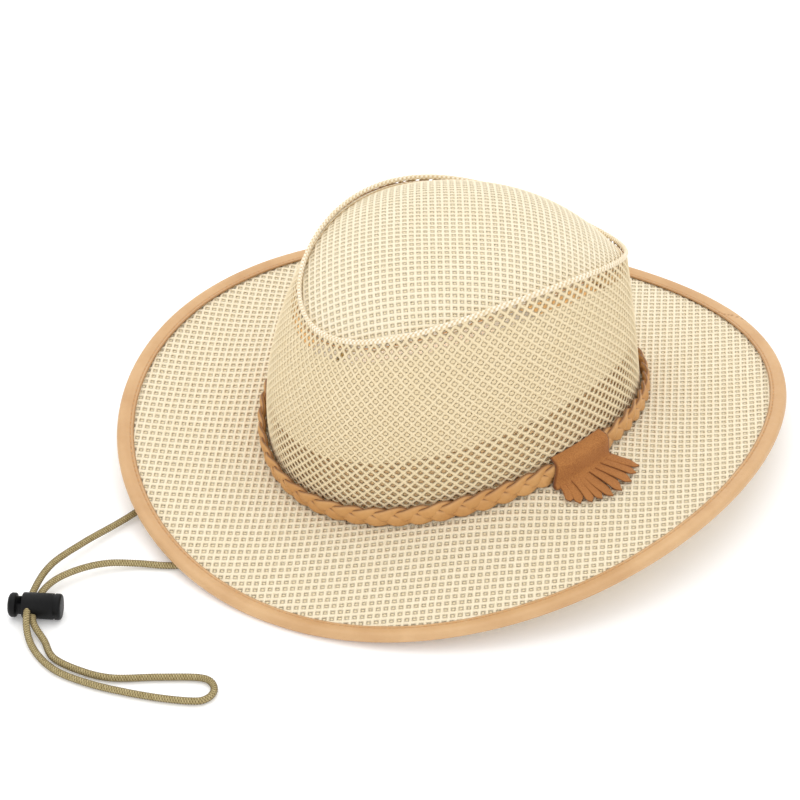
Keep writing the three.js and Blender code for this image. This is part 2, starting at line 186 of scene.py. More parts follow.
def direction(points):
    """Direction from the middle to points in plan, in degrees."""
    return np.degrees(np.arctan2(points[..., 0], -points[..., 1]))


def flat_ring(radii, count, turn=0.0, power=1.0):
    """Points of an oval in the plane, anticlockwise, turned by an angle in degrees."""
    around = round_turn(count)
    c, s = np.cos(around), np.sin(around)
    x = radii[0] * np.sign(c) * np.abs(c) ** power
    y = radii[1] * np.sign(s) * np.abs(s) ** power
    sin, cos = circle(turn)
    return np.stack([x * cos - y * sin, x * sin + y * cos], axis=-1)


def smooth_path(points, per_span, closed=False):
    """A centripetal Catmull-Rom curve through the points."""
    points = np.asarray(points, float)
    if closed:
        run = np.vstack([points[-1], points, points[:2]])
    else:
        run = np.vstack([2 * points[0] - points[1], points, 2 * points[-1] - points[-2]])
    share = np.linspace(0, 1, per_span, endpoint=False)[:, None]
    spans = []
    for a, b, c, d in zip(run, run[1:], run[2:], run[3:]):
        before, along, after = (max(norm(q - p) ** 0.5, 1e-6) for p, q in ((a, b), (b, c), (c, d)))
        leave = ((b - a) / before - (c - a) / (before + along) + (c - b) / along) * along
        arrive = ((c - b) / along - (d - b) / (along + after) + (d - c) / after) * along
        square = -3 * b + 3 * c - 2 * leave - arrive
        cube = 2 * b - 2 * c + leave + arrive
        spans.append(b + leave * share + square * share**2 + cube * share**3)
    curve = np.vstack(spans)
    return curve if closed else np.vstack([curve, points[-1]])


def distance_along(points):
    """How far along a line each of its points lies."""
    return np.concatenate([[0], np.cumsum(norm(np.diff(points, axis=0), axis=1))])


def even_path(points, spacing):
    """The same line, with its points an equal distance apart, and its length."""
    gone = distance_along(points)
    places = np.linspace(0, gone[-1], int(round(gone[-1] / spacing)) + 1)
    return np.stack([np.interp(places, gone, axis) for axis in points.T], axis=-1), gone[-1]


def carried_frames(path):
    """Two directions across the path at each point, carried along it without twist."""
    along = unit(np.gradient(path, axis=0))
    side = np.cross((0, 0, 1), along[0])
    side = unit(side if norm(side) > 0.1 else np.array([1.0, 0, 0]))
    sides = []
    for direction in along:
        side = unit(side - direction * np.dot(side, direction))
        sides.append(side)
    sides = np.array(sides)
    return sides, np.cross(along, sides)


def sweep(path, side, other, u, v):
    """Outlines carried along a path. u and v are their places in its two directions across."""
    return path[:, None] + u[..., None] * side[:, None] + v[..., None] * other[:, None]


# Meshes

def add_mesh(name, points, faces, material, raised=None):
    """An object made of points in millimetres. raised is a number kept with each for the material."""
    mesh = bpy.data.meshes.new(name)
    faces = faces if isinstance(faces, list) else faces.tolist()
    mesh.from_pydata((np.asarray(points) * MM).tolist(), [], faces)
    mesh.polygons.foreach_set("use_smooth", np.ones(len(mesh.polygons), bool))
    if raised is not None:
        layer = mesh.attributes.new("raised", "FLOAT", "POINT")
        layer.data.foreach_set("value", np.asarray(raised, np.float32).ravel())
    mesh.update()
    mesh.materials.append(material)
    return add_object(name, mesh)


def finish_piece(thing, replaced=(), body="hat"):
    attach(thing, body)
    if replaced:
        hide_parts(*replaced)
    return thing


def grid_faces(rows, columns, close_rows=False, first=0):
    """Four-sided faces of a grid of points kept row by row, each row a closed outline."""
    row = np.arange(rows if close_rows else rows - 1)
    r, c = np.meshgrid(row, np.arange(columns), indexing="ij")
    r_next, c_next = (r + 1) % rows, (c + 1) % columns
    corners = [r * columns + c, r_next * columns + c, r_next * columns + c_next, r * columns + c_next]
    return np.stack(corners, axis=-1).reshape(-1, 4) + first


def ring_mesh(name, section, steps, material):
    """A ring round the hat. section takes a column of angles to closed outlines and their raised marks."""
    outlines, raised = section(360 * np.arange(steps)[:, None] / steps)
    faces = grid_faces(steps, outlines.shape[1], close_rows=True)
    return add_mesh(name, outlines.reshape(-1, 3), faces, material, raised)


def run_faces(rows, columns, first=0):
    """Faces of a run of closed outlines with a flat cap at each end."""
    faces = grid_faces(rows, columns, first=first).tolist()
    last = first + (rows - 1) * columns
    faces.append(list(range(first, first + columns)))
    faces.append(list(range(last + columns - 1, last - 1, -1)))
    return faces


# Outlines of the hat, as in the part's source

def brim_outline(angle):
    s, c = circle(angle)
    point = BRIM_POINTEDNESS * np.cos(2 * np.radians(angle))
    return stack(
        BRIM_HALF_WIDTH * s * (1 + BRIM_FRONT_FULLNESS * c - point),
        -BRIM_HALF_LENGTH * c * (1 + point),
    )


def brim_inset(angle, inset):
    along = unit(brim_outline(angle + 0.5) - brim_outline(angle - 0.5))
    outward = stack(along[..., 1], -along[..., 0])
    return brim_outline(angle) - outward * np.asarray(inset)[..., None]


def brim_edge_height(angle):
    level = math.sin(math.radians(BRIM_REST_ANGLE))
    away = np.abs(circle(np.asarray(angle) - BRIM_LOW_ANGLE)[0])
    rise = np.maximum(0, (away - level) / (1 - level))
    return BINDING_HALF_THICKNESS + BRIM_LIFT * rise**BRIM_LIFT_POWER


def crown_base_height(angle):
    return CROWN_BASE_HEIGHT - CROWN_BASE_SADDLE * np.cos(2 * np.radians(angle))


def brim_top(angle, share):
    """The brim's upper face: share 0 is the head opening and 1 the inner edge of its flat rim."""
    s, c = circle(angle)
    outer = brim_inset(angle, BRIM_FLAT_EDGE)
    dip = BRIM_DIP * s * s * 4 * share * (1 - share)
    return stack(
        mix(OPENING_HALF_WIDTH * s, outer[..., 0], share),
        mix(-OPENING_HALF_LENGTH * c, outer[..., 1], share),
        mix(crown_base_height(angle), brim_edge_height(angle) + FABRIC / 2, share) - dip,
    )


def brim_top_at(x, y):
    """Height of the brim's upper face under points in plan."""
    share = np.full(np.shape(x), 0.2)
    for _ in range(30):
        wide = mix(OPENING_HALF_WIDTH, BRIM_HALF_WIDTH - BRIM_FLAT_EDGE, share)
        long = mix(OPENING_HALF_LENGTH, BRIM_HALF_LENGTH - BRIM_FLAT_EDGE, share)
        angle = np.degrees(np.arctan2(x / wide, -y / long))
        inner = norm(brim_top(angle, 0.0)[..., :2], axis=-1)
        outer = norm(brim_top(angle, 1.0)[..., :2], axis=-1)
        share = (np.hypot(x, y) - inner) / (outer - inner)
    return brim_top(angle, np.clip(share, 0, 1))[..., 2]


def ridge_height(angle):
    c = circle(angle)[1]
    return RIDGE_HEIGHT + RIDGE_FRONT_RISE * c - RIDGE_SADDLE * np.cos(2 * np.radians(angle))


def wall_point(angle, share, outward):
    """The crown's wall, moved outward from its inner face: share 0 is its foot and 1 the ridge."""
    s, c = circle(angle)
    bulge = (WALL_BULGE + WALL_BULGE_FRONT * c) * 4 * share * (1 - share)
    reach = bulge + outward - FABRIC
    return stack(
        mix((OPENING_HALF_WIDTH + FABRIC) * s, RIDGE_HALF_WIDTH * s * (1 - RIDGE_FRONT_TAPER * c), share)
        + reach * s,
        mix(-(OPENING_HALF_LENGTH + FABRIC) * c, -RIDGE_HALF_LENGTH * c + RIDGE_BACK_SHIFT, share)
        - reach * c,
        mix(crown_base_height(angle) + GAP, ridge_height(angle), share),
    )


def wall_share(angle, height):
    """Share of the wall's height at which it is this far above its foot."""
    return height / (ridge_height(angle) - crown_base_height(angle))


def seam_point(angle):
    return wall_point(angle, 1 - wall_share(angle, RIDGE_STANDS_PROUD), -GAP)


def dome_top(angle, share):
    """The crown's top panel: share 0 is its highest point and 1 its seam."""
    seam = seam_point(angle)
    return stack(
        seam[..., 0] * share,
        mix(-DOME_FORWARD, seam[..., 1], share),
        mix(DOME_HEIGHT, seam[..., 2], share**DOME_POWER),
    )


def beside_wall(angle, out, up):
    """A point beside the wall: out is measured from the wall's outer face, up from the brim."""
    place = wall_point(angle, wall_share(angle, up), FABRIC + out)
    place[..., 2] = brim_top_at(place[..., 0], place[..., 1]) + up
    return place


# Materials

def srgb(red, green, blue):
    """A colour as it looks on screen, 0 to 255, for a shader."""
    parts = [v / 255 for v in (red, green, blue)]
    return [v / 12.92 if v <= 0.04045 else ((v + 0.055) / 1.055) ** 2.4 for v in parts] + [1.0]


class Finish:
    """A material under construction: a few short ways to add and join its nodes."""

    def __init__(self, name, **sockets):
        self.material = bpy.data.materials.new(name)
        self.material.use_nodes = True
        self.tree = self.material.node_tree
        self.shader = self.tree.nodes["Principled BSDF"]
        self.place = self.add("ShaderNodeTexCoord").outputs["Object"]
        for socket, value in sockets.items():
            self.shader.inputs[socket.replace("_", " ")].default_value = value

    def add(self, kind, **settings):
        node = self.tree.nodes.new(kind)
        for name, value in settings.items():
            setattr(node, name, value)
        return node

    def set(self, socket, value):
        """Joins a socket to another, or sets its number, or its colour as it looks on screen."""
        if isinstance(value, bpy.types.NodeSocket):
            self.tree.links.new(value, socket)
        elif isinstance(value, tuple):
            socket.default_value = srgb(*value)
        else:
            socket.default_value = value

    def noise(self, scale, detail=3.0):
        node = self.add("ShaderNodeTexNoise")
        self.set(node.inputs["Vector"], self.place)
        node.inputs["Scale"].default_value = scale
        node.inputs["Detail"].default_value = detail
        node.inputs["Roughness"].default_value = 0.55
        return node.outputs["Fac"]

    def grain(self, scale):
        node = self.add("ShaderNodeTexVoronoi", feature="DISTANCE_TO_EDGE")
        self.set(node.inputs["Vector"], self.place)
        node.inputs["Scale"].default_value = scale
        return node.outputs["Distance"]

    def raised(self, low, high):
        """How far the shape's raised marks have come from low to high."""
        node = self.add("ShaderNodeAttribute", attribute_name="raised")
        return self.level(node.outputs["Fac"], low, high)

    def level(self, value, low, high, to_low=0.0, to_high=1.0):
        """The value's span from low to high, spread over another span."""
        node = self.add("ShaderNodeMapRange")
        self.set(node.inputs["Value"], value)
        for socket, number in zip(node.inputs[1:5], (low, high, to_low, to_high)):
            socket.default_value = number
        return node.outputs["Result"]

    def blend(self, share, first, second):
        node = self.add("ShaderNodeMix", data_type="RGBA")
        self.set(node.inputs["Factor"], share)
        self.set(node.inputs[6], first)
        self.set(node.inputs[7], second)
        return node.outputs[2]

    def mottle(self, scale, first, second, low=0.3, high=0.7, detail=3.0):
        """One colour passing into another in soft patches."""
        return self.blend(self.level(self.noise(scale, detail), low, high), first, second)

    def colour(self, value):
        self.set(self.shader.inputs["Base Color"], value)

    def rough(self, scale, low, high, detail=3.0):
        """A roughness that changes between two values in soft patches."""
        self.set(self.shader.inputs["Roughness"], self.level(self.noise(scale, detail), 0.3, 0.7, low, high))

    def bump(self, height, depth):
        """Relief of this depth, in millimetres, over any relief that is there already."""
        node = self.add("ShaderNodeBump")
        node.inputs["Strength"].default_value = 1.0
        node.inputs["Distance"].default_value = depth * MM
        self.set(node.inputs["Height"], height)
        normal = self.shader.inputs["Normal"]
        if normal.is_linked:
            self.set(node.inputs["Normal"], normal.links[0].from_socket)
        self.set(normal, node.outputs["Normal"])


def make_mesh_yarn(name, light, warm, hollow_shade):
    """Knitted yarn: pale on its raised threads, and darker where it turns into a hole, as painted shade in
    the holes.
    """
    finish = Finish(name, Roughness=0.9, Sheen_Weight=0.1, Sheen_Roughness=0.5)
    flecks = finish.mottle(900, light, warm, 0.4, 0.75)
    patches = finish.mottle(90, flecks, warm, 0.3, 0.9)
    # Painted shade: the hollow colour where the yarn turns down into a hole and on its underside
    depth = finish.raised(-0.1, 0.15)
    finish.colour(finish.blend(depth, hollow_shade, patches))
    finish.bump(finish.noise(2600, 2.0), 0.12)
    return finish.material


def make_closed_yarn():
    """The same yarn where it is folded and stitched into a closed, paler edge."""
    finish = Finish("straw_edge", Roughness=0.9, Sheen_Weight=0.1, Sheen_Roughness=0.5)
    pale = finish.mottle(120, (252, 244, 226), (246, 234, 208), 0.35, 0.65)
    # Painted shade: darker in the dimples between stitches and on the seam band's underside against the wall
    depth = finish.raised(0.0, 0.8)
    finish.colour(finish.blend(depth, (210, 183, 136), pale))
    finish.bump(finish.noise(2200, 2.0), 0.12)
    return finish.material


def make_faux_leather():
    finish = Finish("faux_leather", Roughness=0.5, Coat_Weight=0.08, Coat_Roughness=0.4)
    base = finish.mottle(35, (212, 172, 124), (196, 152, 103))
    # Painted shade where the leather is folded: darker against the brim, under the roll and along the
    # stitched crease
    fold_shade = finish.raised(0.0, 1.0)
    finish.colour(finish.blend(fold_shade, (164, 118, 71), base))
    finish.rough(300, 0.42, 0.62)
    finish.bump(finish.noise(160, 4.0), 0.5)
    finish.bump(finish.grain(1500), 0.12)
    return finish.material


def make_stitch_thread():
    finish = Finish("stitch_thread", Roughness=0.7)
    finish.colour(finish.mottle(900, (214, 164, 108), (190, 138, 84), 0.35, 0.65))
    finish.bump(finish.noise(3000, 2.0), 0.1)
    return finish.material


def make_braid_leather():
    finish = Finish("braid_leather", Roughness=0.52, Coat_Weight=0.1, Coat_Roughness=0.35)
    base = finish.mottle(60, (212, 162, 102), (196, 142, 82))
    # Painted shade where a strap's edge turns in under the next
    fold_shade = finish.raised(0.0, 0.7)
    finish.colour(finish.blend(fold_shade, (112, 68, 30), base))
    finish.rough(400, 0.42, 0.62)
    finish.bump(finish.noise(260, 4.0), 0.35)
    finish.bump(finish.grain(1700), 0.08)
    return finish.material


def make_suede():
    finish = Finish("suede", Roughness=0.95, Sheen_Weight=0.12, Sheen_Roughness=0.4)
    base = finish.mottle(70, (170, 111, 57), (150, 92, 42), detail=5.0)
    nap = finish.mottle(1500, base, (182, 122, 64), 0.35, 0.65)
    # Darker along the edges of each fringe strip, as painted shade where the strips lie over each other, and
    # darker at the sleeve's two ends
    cut = finish.raised(0.0, 1.0)
    finish.colour(finish.blend(cut, (116, 66, 30), nap))
    finish.bump(finish.noise(1800, 4.0), 0.25)
    return finish.material


def make_band_cloth():
    finish = Finish("tan_cloth", Roughness=0.9, Sheen_Weight=0.1)
    weave = finish.add("ShaderNodeTexWave", wave_type="BANDS", bands_direction="Z")
    finish.set(weave.inputs["Vector"], finish.place)
    weave.inputs["Scale"].default_value = 420
    weave.inputs["Distortion"].default_value = 1.5
    # Its colours are painted paler than the cloth, as painted light for the little light that reaches it
    # behind the net
    base = finish.mottle(150, (254, 222, 170), (250, 214, 158))
    finish.colour(finish.blend(weave.outputs["Fac"], (244, 206, 150), base))
    finish.bump(weave.outputs["Fac"], 0.2)
    finish.bump(finish.noise(2000), 0.1)
    return finish.material


def make_cord_sheath():
    finish = Finish("khaki_cord", Roughness=0.75)
    thread = finish.mottle(700, (204, 188, 140), (172, 154, 102), 0.35, 0.65)
    # Painted shade in the grooves between the sheath's ribs
    ribs = finish.raised(0.15, 0.75)
    braid = finish.blend(ribs, (92, 72, 34), thread)
    # The sheath is darker towards its edges as seen from the camera, as painted shade where it turns away
    facing = finish.add("ShaderNodeLayerWeight").outputs["Facing"]
    finish.colour(finish.blend(finish.level(facing, 0.25, 0.85, 0.0, 0.9), braid, (84, 68, 34)))
    finish.bump(finish.noise(3000, 2.0), 0.12)
    return finish.material


def make_black_plastic():
    finish = Finish("black_plastic", Roughness=0.45, Specular_IOR_Level=0.2)
    finish.colour(finish.mottle(250, (5, 5, 6), (11, 11, 12)))
    finish.rough(900, 0.4, 0.55, detail=4.0)
    finish.bump(finish.noise(2400, 3.0), 0.05)
    return finish.material


def make_paper():
    """The floor, which gives off a little light like a lit table, so that shadows on it stay pale."""
    finish = Finish("pale_floor", Roughness=0.7, Emission_Color=(1, 1, 1, 1), Emission_Strength=0.14)
    finish.colour(finish.mottle(8, (250, 250, 250), (248, 248, 248)))
    return finish.material


# Knitted mesh. The fabric has a face and a back. Each is a net of threads round the holes of a
# lattice, and the back's threads cross behind the holes of the face. Where a setting has two values,
# the first is the face's and the second the back's.

FACE, BACK = 0, 1
LAYER_ENDINGS = ("", "_back")
FACE_TO_BACK = 0.22
SQUARE_CELL = ((1, 1), (0, 1), (-1, 1), (-1, 0), (-1, -1), (0, -1), (1, -1), (1, 0))
STAGGERED_CELL = ((2, 0), (1, 1), (0, 2), (-1, 1), (-2, 0), (-1, -1), (0, -2), (1, -1))
CELL_SIDES = 8
RIM_DROP = 0.16
THREAD_UNDERSIDE = 0.14
BACK_CREST = 0.06
NORMAL_STEP = 0.2
HOLE_PLACE_SPREAD = 0.05
HOLE_SIZE_SPREAD = 0.05
CREST_SPREAD = 0.06


def knit(name, layer, centres, cell, steps, hole, fabric, crest, yarns, seed, wrap=0):
    """One layer of a fabric.

    centres are whole-number places of the holes and cell the outline round each, corners first.
    steps are the two lattice steps on the flat fabric and hole a hole's outline there.
    fabric has three functions: inside says which flat points it covers, confine moves the others to
    its edge, and surface takes flat points to the hat.
    crest gives how far the face's threads stand over its middle at each lattice point.
    yarns are the materials of the two layers.
    wrap is the number of lattice steps round a fabric that closes on itself.
    """
    inside, confine, surface = fabric
    cell = np.array(cell)
    if layer == BACK:
        cell, hole = cell[::2], hole[::2]
    centres = centres[inside(centres @ steps)]
    corners = centres[:, None, :] + cell
    if wrap:
        corners[..., 0] %= wrap
    keys, ring = np.unique(corners.reshape(-1, 2), axis=0, return_inverse=True)
    holes, sides = corners.shape[:2]
    ring = ring.reshape(holes, sides)
    random = np.random.default_rng(seed)
    shift = random.normal(0, HOLE_PLACE_SPREAD, (holes, 1, 2))
    size = 1 + random.normal(0, HOLE_SIZE_SPREAD, (holes, 1, 1))
    rims = (centres @ steps)[:, None, :] + hole * size + shift
    rise = crest(keys) if layer == FACE else np.full(len(keys), BACK_CREST)
    rise = rise * (1 + random.normal(0, CREST_SPREAD, len(keys)))
    flat = confine(np.vstack([keys @ steps, keys @ steps, rims.reshape(-1, 2)]))
    rim_lift = -RIM_DROP if layer == FACE else 0
    lift = np.concatenate([rise, 0 * rise - THREAD_UNDERSIDE, np.full(holes * sides, rim_lift)])
    points = on_surface(surface, flat, lift - FACE_TO_BACK * layer)
    top, under = ring, ring + len(keys)
    rim = 2 * len(keys) + np.arange(holes * sides).reshape(holes, sides)
    after = np.roll(np.arange(sides), -1)
    upper = np.stack([top, top[:, after], rim[:, after], rim], axis=-1)
    lower = np.stack([under, rim, rim[:, after], under[:, after]], axis=-1)
    edges = np.stack([ring, ring[:, after]], axis=-1).reshape(-1, 2)
    _, first, count = np.unique(np.sort(edges, axis=1), axis=0, return_index=True, return_counts=True)
    a, b = edges[first[count == 1]].T
    border = np.stack([a + len(keys), b + len(keys), b, a], axis=-1)
    faces = np.vstack([upper.reshape(-1, 4), lower.reshape(-1, 4), border])
    # The back's raised marks are lowered, so most of it takes the hollow colour's painted shade
    return add_mesh(name, points, faces, yarns[layer], lift - BACK_CREST * layer)


def on_surface(surface, flat, lift):
    """Points on a surface, moved along its normal."""
    east, north = np.eye(2) * NORMAL_STEP
    along = surface(flat + east) - surface(flat - east)
    across = surface(flat + north) - surface(flat - north)
    return surface(flat) + unit(np.cross(along, across)) * np.asarray(lift)[..., None]


def square_lattice(reach, layer):
    """Whole-number centres of a square lattice, half a hole's pitch further on for the back."""
    line = np.arange(-reach, reach + 1)
    u, v = np.meshgrid(line, line, indexing="ij")
    return np.stack([2 * u + 1 - layer, 2 * v + 1 - layer], axis=-1).reshape(-1, 2)


def rib_crest(keys):
    """Heights of a square net's threads: between holes side by side, at crossings and between rows."""
    u_even, v_even = keys[:, 0] % 2 == 0, keys[:, 1] % 2 == 0
    return np.where(u_even & ~v_even, 0.22, np.where(u_even & v_even, 0.17, 0.12))


# The rows of the brim's and the top panel's fabric run across the photograph's view
ROW_TURN = 46
ROW_DIRECTION = np.array([math.cos(math.radians(ROW_TURN)), math.sin(math.radians(ROW_TURN))])
COLUMN_DIRECTION = np.array([-ROW_DIRECTION[1], ROW_DIRECTION[0]])
BRIM_PITCH = 3.55
BRIM_ROW_PITCH = 4.2
BRIM_ROW_SHIFT = 0.46
BRIM_HOLES = ((0.8, 0.6), (0.4, 0.4))
BRIM_HOLE_SLANT = -20
BRIM_LATTICE_REACH = 60
TOP_PITCH = 3.4
TOP_ROW_PITCH = 3.6
TOP_HOLES = ((0.75, 0.58), (0.4, 0.4))
TOP_HOLE_SLANT = -10
TOP_LATTICE_REACH = 36


def oval_hole(half_u, half_v, slant):
    """A hole's outline, corners first, on fabric whose rows turn with the photograph."""
    return np.roll(flat_ring((half_u, half_v), CELL_SIDES, ROW_TURN + slant), -1, axis=0)


def knit_in_rows(name, node, steps, reach, holes, slant, fabric, yarns, seed):
    """Both layers of a fabric whose holes lie in rows, in place of one of the part's nodes."""
    for layer in (FACE, BACK):
        net = knit(
            name + LAYER_ENDINGS[layer], layer, square_lattice(reach, layer), SQUARE_CELL, steps,
            oval_hole(*holes[layer], slant), fabric, rib_crest, yarns, seed + layer,
        )
        finish_piece(net, [node])


def polar_table(points):
    """Direction to points round an outline, in rising order, and their distance."""
    points = points[np.argsort(direction(points))]
    return direction(points), np.hypot(points[:, 0], points[:, 1])


def make_brim_net(yarns):
    inner = polar_table(brim_top(FINE_ANGLES, 0.0))
    outer = polar_table(brim_inset(FINE_ANGLES, NET_EDGE_INSET))

    def limits(flat):
        return [np.interp(direction(flat), *table, period=360) for table in (inner, outer)]

    def inside(flat):
        low, high = limits(flat)
        far = norm(flat, axis=1)
        return (far > low) & (far < high)

    def confine(flat):
        low, high = limits(flat)
        far = norm(flat, axis=1)
        return flat * (np.clip(far, low, high) / far)[:, None]

    def surface(flat):
        return stack(flat[:, 0], flat[:, 1], brim_top_at(flat[:, 0], flat[:, 1]) - FABRIC / 2)

    steps = np.array([
        ROW_DIRECTION * BRIM_PITCH / 2,
        COLUMN_DIRECTION * BRIM_ROW_PITCH / 2 + ROW_DIRECTION * BRIM_ROW_SHIFT / 2,
    ])
    knit_in_rows(
        "brim_net", "brim", steps, BRIM_LATTICE_REACH, BRIM_HOLES, BRIM_HOLE_SLANT,
        (inside, confine, surface), yarns, seed=11,
    )


WALL_COLUMNS = 110
WALL_ROW_STEP = 1.3
WALL_ROWS = 24
WALL_NET_TOP = 1.0
WALL_BACK_TOP = 9
WALL_CREST = 0.2
WALL_HOLES = ((1.08, 0.84), (0.45, 0.45))
WALL_FOOT_TRIM = (0, SWEATBAND_HEIGHT - 1)
WALL_TOP_TRIM = (0, WALL_BACK_TOP)
# About the length of the wall round the hat, for its holes' width in degrees
WALL_GIRTH = 540


def make_wall_net(yarns):
    """The crown's wall: a staggered net whose rows lie level."""
    def covered(layer):
        """The face covers the wall. The back ends at the sweatband, and short of the ridge."""
        def limits(flat):
            low, high = crown_base_height(flat[:, 0]) + GAP, ridge_height(flat[:, 0]) - WALL_NET_TOP
            return low + WALL_FOOT_TRIM[layer], high - WALL_TOP_TRIM[layer]

        def inside(flat):
            low, high = limits(flat)
            return (flat[:, 1] > low - WALL_ROW_STEP) & (flat[:, 1] < high + WALL_ROW_STEP)

        def confine(flat):
            return stack(flat[:, 0], np.clip(flat[:, 1], *limits(flat)))

        return inside, confine

    def crest(keys):
        return np.full(len(keys), WALL_CREST)

    def surface(flat):
        foot, top = crown_base_height(flat[:, 0]) + GAP, ridge_height(flat[:, 0])
        return wall_point(flat[:, 0], (flat[:, 1] - foot) / (top - foot), FABRIC / 2)

    around = 4 * WALL_COLUMNS
    steps = np.array([[360 / around, 0], [0, WALL_ROW_STEP]])
    k, m = np.meshgrid(np.arange(2 * WALL_COLUMNS), np.arange(2 * WALL_ROWS), indexing="ij")
    places = np.stack([k, m], axis=-1).reshape(-1, 2)
    for layer in (FACE, BACK):
        hole = flat_ring(WALL_HOLES[layer], CELL_SIDES) * np.array([360 / WALL_GIRTH, 1])
        net = knit(
            "crown_wall_net" + LAYER_ENDINGS[layer], layer, 2 * places[places.sum(axis=1) % 2 == layer],
            STAGGERED_CELL, steps, hole, (*covered(layer), surface), crest, yarns, 15 + layer, wrap=around,
        )
        finish_piece(net, ["crown_side"])


SEAM_BAND = 2.1


def make_top_net(yarns):
    """The crown's top panel, laid out flat round its highest point along the dome's curve."""
    seam = seam_point(FINE_ANGLES) + (0, DOME_FORWARD, 0)
    way, reach = polar_table(seam)
    drop = DOME_HEIGHT - seam[np.argsort(direction(seam)), 2]
    slope_shares = np.linspace(0, 1, 41)

    def limits(flat):
        return [np.interp(direction(flat), way, table, period=360) for table in (reach, drop)]

    def arc(share, radius, fall):
        """Distance over the dome from its highest point to a share of the way to the seam."""
        along = share[:, None] * slope_shares
        rate = radius[:, None] * np.sqrt(1 + (DOME_POWER * (fall / radius)[:, None] * along**2) ** 2)
        return np.trapz(rate, along, axis=1)

    def share_at(flat):
        radius, fall = limits(flat)
        far = norm(flat, axis=1)
        share = far / radius
        for _ in range(6):
            rate = radius * np.sqrt(1 + (DOME_POWER * fall / radius * share**2) ** 2)
            share = share - (arc(share, radius, fall) - far) / rate
        return share, radius, fall

    def inside(flat):
        return share_at(flat)[0] < 0.99

    def confine(flat):
        radius, fall = limits(flat)
        limit = arc(np.ones(len(flat)), radius, fall) - SEAM_BAND / 2
        far = np.maximum(norm(flat, axis=1), 1e-6)
        return flat * np.minimum(1, limit / far)[:, None]

    def surface(flat):
        share, radius, fall = share_at(flat)
        out = flat / np.maximum(norm(flat, axis=1), 1e-6)[:, None] * (share * radius)[:, None]
        height = DOME_HEIGHT - fall * share**DOME_POWER - FABRIC / 2
        return stack(out[:, 0], out[:, 1] - DOME_FORWARD, height)

    steps = np.array([ROW_DIRECTION * TOP_PITCH / 2, COLUMN_DIRECTION * TOP_ROW_PITCH / 2])
    knit_in_rows(
        "crown_top_net", "crown_top", steps, TOP_LATTICE_REACH, TOP_HOLES, TOP_HOLE_SLANT,
        (inside, confine, surface), yarns, seed=13,
    )


RIDGE_OUTLINE = (
    (0.45, -2.6), (0.85, -2.2), (1.0, -1.4), (0.95, -0.5), (0.5, 0.1), (-0.15, 0.2), (-0.75, -0.15),
    (-1.0, -0.9), (-0.95, -1.6), (-0.6, -2.1), (0, -2.4),
)


RIDGE_LOBES = 210
RIDGE_STEPS_PER_LOBE = 6
RIDGE_DIMPLE = 0.17
RIDGE_SETTLED = 0.2


def make_ridge_edge(yarn):
    """The wall's top edge, folded over and dimpled by its stitches."""
    outline = np.array(RIDGE_OUTLINE)
    outward = unit(outline - outline.mean(axis=0))
    stagger = np.pi * (np.arange(len(outline)) // 2 % 2)

    def section(a):
        wave = np.cos(np.radians(a * RIDGE_LOBES) + stagger)
        place = outline + RIDGE_DIMPLE * wave[..., None] * outward - (0, RIDGE_SETTLED)
        out, up = place.transpose(2, 0, 1)
        s, c = circle(a)
        # Its raised marks give painted shade in the dimples between stitches
        return wall_point(a, 1.0, FABRIC / 2) + stack(out * s, -out * c, up), 0.5 + 0.5 * wave

    edge = ring_mesh("crown_ridge", section, RIDGE_LOBES * RIDGE_STEPS_PER_LOBE, yarn)
    return finish_piece(edge)


SEAM_OUTLINE = ((-0.28, -0.9), (-0.25, 0.2), (0.5, 0.62), (1.5, 0.55), (2.2, 0.25), (2.3, -0.9))
SEAM_LOBES = 220
SEAM_STEPS_PER_LOBE = 5
SEAM_DIMPLE = 0.08


def make_seam_band(yarn):
    """The closed strip along the edge of the top panel, where it is sewn to the wall."""
    inward, height = smooth_path(SEAM_OUTLINE, 3, closed=True).T

    def section(a):
        reach = norm(dome_top(a, 1.0)[..., :2], axis=-1)
        wave = np.cos(np.radians(a * SEAM_LOBES))
        lifted = height + SEAM_DIMPLE * wave * (height > 0)
        points = dome_top(a, 1 - inward / reach) + stack(0 * lifted, 0 * lifted, lifted)
        # Its raised marks give painted shade on the band's underside in the groove, and in its dimples
        return points, np.where(height > 0.1, 0.7 + 0.3 * wave, 0 * wave)

    band = ring_mesh("crown_seam_band", section, SEAM_LOBES * SEAM_STEPS_PER_LOBE, yarn)
    return finish_piece(band)


THREAD_RADIUS = 0.36
THREAD_TWIST = 0.05
THREAD_TWISTS = 260
THREAD_STEPS_PER_TWIST = 4
THREAD_OUT = 0.05
THREAD_UP = 0.62


def make_seam_thread(thread):
    """The thread that lies in the groove between the wall and the edge of the top panel."""
    around = round_turn(8)

    def section(a):
        radius = THREAD_RADIUS + THREAD_TWIST * np.cos(np.radians(a * THREAD_TWISTS))
        out = radius * np.cos(around) + THREAD_OUT
        s, c = circle(a)
        return seam_point(a) + stack(out * s, -out * c, THREAD_UP + radius * np.sin(around)), None

    ring = ring_mesh("crown_seam_thread", section, THREAD_TWISTS * THREAD_STEPS_PER_TWIST, thread)
    return finish_piece(ring)


BINDING_OUTLINE = (
    (0, 0), (0.25, 1.1), (0.9, 2.0), (1.9, 2.45), (3.2, 2.5), (4.6, 2.3), (5.4, 1.95), (6.2, 1.85),
    (6.9, 1.55), (7.6, 1.8), (8.3, 1.65), (8.6, 1.2), (8.5, 0.8), (6, 0.75), (3.4, 0.8), (3.4, -0.8),
    (6, -0.75), (8.5, -0.8), (8.6, -1.2), (8.3, -1.65), (7.6, -1.8), (6.9, -1.6), (4.7, -2.3),
    (3.2, -2.5), (1.9, -2.45), (0.9, -2.0), (0.25, -1.1),
)
BINDING_STEPS = 1440
